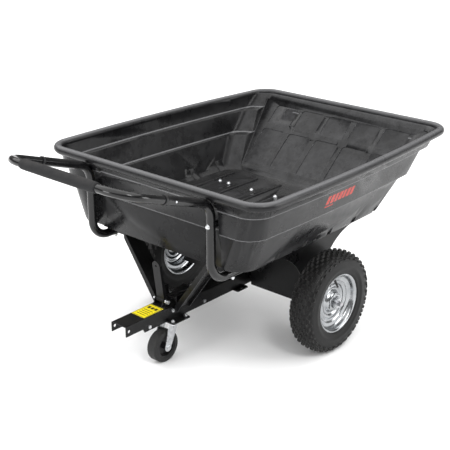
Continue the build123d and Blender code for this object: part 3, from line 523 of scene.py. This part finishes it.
def print_over(tree, mask, ink):
    """Mixes an ink over a material's colour."""
    colour = tree.nodes["Principled BSDF"].inputs["Base Color"]
    under = colour.links[0].from_socket
    tree.links.new(blend(tree, mask, under, (*ink, 1)), colour)


print("marks can be printed")

# %% [markdown]
# The tray's right side carries a printed mark. Here it is a row of plain
# slanted bars over a short line, on the faces that look to the right.

# %% Tray mark
mark_front, mark_low, mark_high = -0.022, 0.643, 0.673
mark_lean = 0.4
mark_bars = (
    (0.0, 0.017), (0.024, 0.043), (0.049, 0.064), (0.071, 0.092),
    (0.098, 0.113), (0.120, 0.139), (0.145, 0.162),
)
underline_drop, underline_height, underline_length = 0.010, 0.004, 0.05
right_wall, facing_right = 0.3, 0.5
mark_red = (0.36, 0.024, 0.014)

tree = finishes["tray_plastic"].node_tree
across, along, up = object_place(tree)
normal = add(tree, "ShaderNodeNewGeometry").outputs["Normal"]
normal = add(tree, "ShaderNodeSeparateXYZ", {0: normal}).outputs
lean = math(tree, "MULTIPLY", math(tree, "SUBTRACT", up, mark_low), mark_lean)
slanted = math(tree, "SUBTRACT", along, lean)
bars = 0.0
for start, end in mark_bars:
    bar = within(tree, slanted, mark_front + start, mark_front + end)
    bars = math(tree, "ADD", bar, bars)
bars = math(tree, "MULTIPLY", bars, within(tree, up, mark_low, mark_high))
line = within(tree, slanted, mark_front, mark_front + underline_length)
line_low = mark_low - underline_drop
line = math(tree, "MULTIPLY", line, within(tree, up, line_low, line_low + underline_height))
on_right = math(
    tree, "MULTIPLY",
    math(tree, "GREATER_THAN", across, right_wall),
    math(tree, "GREATER_THAN", normal["X"], facing_right),
)
mask = math(tree, "MULTIPLY", math(tree, "ADD", bars, line, clamp=True), on_right)
print_over(tree, mask, mark_red)
print("bars on", finishes["tray_plastic"].name, len(mark_bars))

# %% [markdown]
# The tray gets a thin painted highlight along the two ledges that run round its
# walls and a painted highlight on top of its rim. It is scuffed where loads slide
# out over the rear slope, and the scuffs also carry a painted mottled sheen.

# %% Tray scuffs and painted highlights
ledge_edge, skirt_edge, highlight_half = 0.606, 0.694, 0.002
slope_start, slope_tilt = 0.4, 0.45
scuff_and_sheen_size, scuff_and_sheen_share = 0.05, 0.5
bead_low, bead_high = 0.738, 0.756
highlight_share = 0.8

# Painted highlight lines along the ledge and skirt edges, kept off the rear slope.
ledge_highlights = math(
    tree, "ADD",
    around(tree, up, ledge_edge, highlight_half),
    around(tree, up, skirt_edge, highlight_half),
)
rear_slope = math(
    tree, "MULTIPLY",
    math(tree, "GREATER_THAN", math(tree, "ABSOLUTE", normal["Y"]), slope_tilt),
    math(tree, "GREATER_THAN", along, slope_start),
)
ledge_highlights = math(tree, "SUBTRACT", ledge_highlights, rear_slope, clamp=True)
print_over(tree, math(tree, "MULTIPLY", ledge_highlights, highlight_share), (0.15, 0.15, 0.155))
# Lighter patches on the rear slope: real scuffing and a painted mottled sheen.
scuffs_and_sheen = place_group(tree, clouds, Size=scuff_and_sheen_size)["Value"]
scuffs_and_sheen = math(tree, "MULTIPLY", math(tree, "MULTIPLY", scuffs_and_sheen, rear_slope), scuff_and_sheen_share)
print_over(tree, scuffs_and_sheen, (0.05, 0.05, 0.052))
# Painted highlight: the top of the rim bead is lightened where it faces up.
facing_up = ramp(tree, normal["Z"], 0.2, 0.9)
bead_highlight = math(tree, "MULTIPLY", ramp(tree, up, bead_low, bead_high), facing_up)
print_over(tree, math(tree, "MULTIPLY", bead_highlight, highlight_share), (0.12, 0.12, 0.124))
print("wear on", finishes["tray_plastic"].name)

# %% [markdown]
# The yellow plate on the drawbar has a thin border, a few plain bars and
# three blocks, and no lettering.

# %% Plate print
border_out, border_in = 0.002, 0.004
bar_count, first_bar, bar_pitch, bar_height, bar_half = 4, 0.016, 0.012, 0.0035, 0.022
block_setback, block_pitch, block_half_width, block_half_length = 0.022, 0.017, 0.006, 0.008
plate_ink = (0.02, 0.02, 0.02)

low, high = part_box("drawbar_label")
middle = (low + high) / 2
tree = finishes["label_yellow"].node_tree
across, along, up = object_place(tree)


def inside_plate(border):
    """1 where a place is further than the border from every side of the plate."""
    return math(
        tree, "MULTIPLY",
        within(tree, across, low.x + border, high.x - border),
        within(tree, along, low.y + border, high.y - border),
    )


mask = math(tree, "SUBTRACT", 1.0, inside_plate(border_in))
mask = math(tree, "MULTIPLY", mask, inside_plate(border_out))
for index in range(bar_count):
    start = low.y + first_bar + index * bar_pitch
    bar = within(tree, along, start, start + bar_height)
    bar = math(tree, "MULTIPLY", bar, around(tree, across, middle.x, bar_half))
    mask = math(tree, "ADD", mask, bar, clamp=True)
for step in (-1, 0, 1):
    block = around(tree, across, middle.x + step * block_pitch, block_half_width)
    block_row = around(tree, along, high.y - block_setback, block_half_length)
    block = math(tree, "MULTIPLY", block, block_row)
    mask = math(tree, "ADD", mask, block, clamp=True)
print_over(tree, mask, plate_ink)
print("plate printed with", bar_count, "bars")

# %% [markdown]
# Every CAD piece names the slot that its finish fills, so the whole frame is
# painted in one pass.

# %% Paint the frame
painted = 0
for piece in nodes.values():
    for place_in_list, slot in enumerate(piece.data.materials):
        piece.data.materials[place_in_list] = finishes[slot.name]
        painted += 1
print("slots painted:", painted)

# %% [markdown]
# The floor gets the same care: a pale matt sheet with faint clouds.

# %% Floor finish
paper = layered(
    "floor_paper", tones=((0.92, 0.92, 0.92), (0.95, 0.95, 0.95)), gloss=(0.55, 0.7),
    cloud_size=0.8, grain_size=0.004, grain_depth=0.00004,
)
floor.data.materials.append(paper)
print("floor is", paper.name)

# %% [markdown]
# The tray is one moulding, so none of its edges is sharp. Its CAD shape is
# copied and merged, flat areas become single faces, and a bevel rounds each
# crease by a few millimetres. That keeps every size and gives the long soft
# highlights of moulded plastic.

# %% Tray
tray_edge_radius = 0.003
flat_angle, crease_angle = 0.6, 16
mesh = nodes["tray"].data.copy()
tray = bpy.data.objects.new("tray_shell", mesh)
bpy.context.scene.collection.objects.link(tray)
only(tray)
bpy.ops.object.mode_set(mode="EDIT")
bpy.ops.mesh.select_all(action="SELECT")
bpy.ops.mesh.remove_doubles(threshold=merge_distance)
bpy.ops.mesh.dissolve_limited(angle_limit=radians(flat_angle))
bpy.ops.object.mode_set(mode="OBJECT")
apply_modifier(
    tray, "BEVEL", width=tray_edge_radius, segments=3, limit_method="ANGLE",
    angle_limit=radians(crease_angle), miter_outer="MITER_ARC",
)
tidy(tray, 40)
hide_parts("tray")
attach(tray, "tipper")

# %% [markdown]
# A small pneumatic tyre has a round casing and rows of rubber blocks. The
# casing is turned first. Its tread faces are then picked like the dark
# squares of a chess board, and each is inset for the groove, raised, and
# inset again for a worn top.

# %% Tyre casing
low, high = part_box("right_tyre")
wheel_centre = (low + high) / 2
tyre_radius = (high.z - low.z) / 2
block_height = 0.0056
tread_steps = 68

casing_top = tyre_radius - block_height
casing_half = [
    (0.0270, 0.1060), (0.0350, 0.1080), (0.0400, 0.1135), (0.0445, 0.1180), (0.0478, 0.1260),
    (0.0502, 0.1360), (0.0512, 0.1480), (0.0508, 0.1600), (0.0486, 0.1700), (0.0448, 0.1790),
    (0.0394, casing_top - 0.0095), (0.0320, casing_top - 0.0050), (0.0215, casing_top - 0.0020),
    (0.0108, casing_top - 0.0005),
]
profile = [(0, casing_top)] + there_and_back(casing_half[::-1]) + [(0, casing_top)]
right_tyre = turned("right_tyre_tread", profile, tread_steps, wheel_centre)
tidy(right_tyre, 60)


# %% [markdown]
# To find a face again, its place is read as a radius, a distance from the
# wheel's middle plane, and a step round the wheel. Every other face of the
# tread becomes a block.

# %% Tyre blocks
tread_low = 0.1652
groove_half, block_taper, block_round = 0.0011, 0.0013, 0.0008
side_share = 0.85


def wheel_spot(face):
    """Distance from the middle plane, radius and step round the wheel of a face."""
    from_centre = face.center - wheel_centre
    radius = hypot(from_centre.y, from_centre.z)
    turn = (Vector((from_centre.y, from_centre.z)).angle_signed(Vector((1, 0))) / (2 * pi)) % 1
    return from_centre.x, radius, int(turn * tread_steps)


tread_edges = [x for x, _ in casing_half[7:]][::-1]


def is_block(face):
    """True for every other face of the tread, like one colour of a chess board."""
    x, radius, step = wheel_spot(face)
    if radius < tread_low:
        return False
    column = sum(abs(x) > edge for edge in tread_edges)
    row = column if x > 0 else -1 - column
    return (row + step) % 2 == 0


pick(right_tyre, "FACE", is_block)
side_height, round_height = block_height * side_share, block_height * (1 - side_share)
bpy.ops.mesh.inset(thickness=groove_half, depth=0, use_individual=True)
bpy.ops.mesh.inset(thickness=block_taper, depth=side_height, use_individual=True)
bpy.ops.mesh.inset(thickness=block_round, depth=round_height, use_individual=True)
print("blocks on", right_tyre.name)

# %% [markdown]
# Each side wall has two low rings, one beside the rim and one half way up.
# The finished tyre is then mirrored to the other wheel.

# %% Tyre sidewall rings
ring_radii = ((0.1195, 0.1245), (0.139, 0.145))
ring_width, ring_height, side_wall_start = 0.002, 0.0009, 0.042


def is_ring(face):
    """True for the faces of the two raised rings on each side wall."""
    x, radius, _ = wheel_spot(face)
    return abs(x) > side_wall_start and any(inner < radius < outer for inner, outer in ring_radii)


pick(right_tyre, "FACE", is_ring)
bpy.ops.mesh.inset(thickness=ring_width, depth=ring_height)
tidy(right_tyre, 38)
left_tyre = other_side(right_tyre, "left_tyre_tread")
for piece, node, body in (
    (right_tyre, "right_tyre", "right_wheel"),
    (left_tyre, "left_tyre", "left_wheel"),
):
    piece.data.materials.append(finishes["tyre_rubber"])
    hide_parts(node)
    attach(piece, body)

# %% [markdown]
# The wheel is pressed from sheet: a barrel with a rolled lip on each side and
# a dished disc with raised rings, welded inside it. Each is turned as a bare
# surface and then given the sheet's thickness.

# %% Wheel barrel and disc
sheet = 0.0022
wheel_sides = 96
lip_half = [
    (0.0385, 0.1140), (0.0408, 0.1152), (0.0424, 0.1143), (0.0420, 0.1116), (0.0392, 0.1078),
    (0.0345, 0.1052), (0.0255, 0.1040), (0.0212, 0.1012), (0.0188, 0.0940), (0.0172, 0.0862),
]
disc_profile = [
    (0.0150, 0.0868), (0.0112, 0.0812), (0.0088, 0.0752), (0.0096, 0.0700), (0.0128, 0.0662),
    (0.0132, 0.0604), (0.0104, 0.0560), (0.0066, 0.0520), (0.0058, 0.0470), (0.0086, 0.0428),
    (0.0150, 0.0392), (0.0204, 0.0352), (0.0222, 0.0300), (0.0222, 0.0243),
]
barrel = turned("right_wheel_barrel", there_and_back(lip_half), wheel_sides, wheel_centre)
disc = turned("right_wheel_disc", disc_profile, wheel_sides, wheel_centre)
for piece in (barrel, disc):
    apply_modifier(piece, "SOLIDIFY", thickness=sheet, offset=0)
    print(piece.name, "has", len(piece.data.polygons), "faces")

# %% [markdown]
# A six-lobed washer plate stiffens the hub. It starts as a filled circle. The
# corners in the middle of each lobe are scaled out and those between two
# lobes are scaled in, and the outline is then extruded and given a rounded
# top edge.

# %% Hub plate
lobes, lobe_size, notch_size = 6, 1.10, 0.90
plate_sides, plate_x, plate_radius, plate_height = 72, 0.0235, 0.033, 0.0035
plate_edge, plate_crown = 0.0015, 0.0008
bpy.ops.object.select_all(action="DESELECT")
bpy.ops.mesh.primitive_circle_add(
    vertices=plate_sides, radius=plate_radius, fill_type="NGON",
    location=wheel_centre + Vector((plate_x, 0, 0)), rotation=(0, pi / 2, 0),
)
hub_plate = bpy.context.object
hub_plate.name = "right_hub_plate"
bpy.ops.object.transform_apply(location=True, rotation=True, scale=True)


def lobe_wave(vertex):
    """1 in the middle of a lobe of the hub plate and -1 between two lobes."""
    place = Vector((vertex.co.y - wheel_centre.y, vertex.co.z - wheel_centre.z))
    return cos(lobes * place.angle_signed(Vector((0, 1))))


for low_wave, high_wave, size in ((0.5, 1.1, lobe_size), (-1.1, -0.5, notch_size)):
    pick(hub_plate, "VERT", lambda vertex: low_wave < lobe_wave(vertex) < high_wave)
    bpy.ops.transform.resize(value=(1, size, size), center_override=wheel_centre)
pick(hub_plate, "FACE", lambda face: True)
bpy.ops.mesh.extrude_region_move(TRANSFORM_OT_translate={"value": (plate_height, 0, 0)})
bpy.ops.mesh.inset(thickness=plate_edge, depth=plate_crown)
right_rim = joined(barrel, disc, hub_plate)
right_rim.name = "right_wheel_pressing"
tidy(right_rim, 45)
left_rim = other_side(right_rim, "left_wheel_pressing")
for piece, node, body in (
    (right_rim, "right_rim", "right_wheel"),
    (left_rim, "left_rim", "left_wheel"),
):
    piece.data.materials.append(finishes["rim_chrome"])
    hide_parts(node)
    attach(piece, body)

# %% [markdown]
# The grip is a foam sleeve that grips the tube, a little fuller in its middle
# and pinched at both ends. It is turned as one closed wall.

# %% Foam grip
low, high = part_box("foam_grip")
grip_centre = (low + high) / 2
grip_half = (high.x - low.x) / 2
grip_radius = (high.z - low.z) / 2
grip_bore = 0.01408
grip_sides = 40
fullness = ((0, 1.0), (0.5, 0.998), (0.9, 0.985), (0.97, 0.96), (0.992, 0.90), (1.0, 0.80))
outer_half = [(grip_half * share, grip_radius * size) for share, size in fullness]
outer_half.append((grip_half, grip_bore))
sleeve = [(-x, radius) for x, radius in outer_half[::-1]] + outer_half[1:]
sleeve.append(sleeve[0])
grip = turned("grip_sleeve", sleeve, grip_sides, grip_centre)
tidy(grip, 50)
grip.data.materials.append(finishes["grip_foam"])
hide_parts("foam_grip")
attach(grip, "tipper")

# %% [markdown]
# The view layer is brought up to date with every finished piece. The
# finished cart must not be larger than its CAD model.

# %% Update the view layer
bpy.context.view_layer.update()
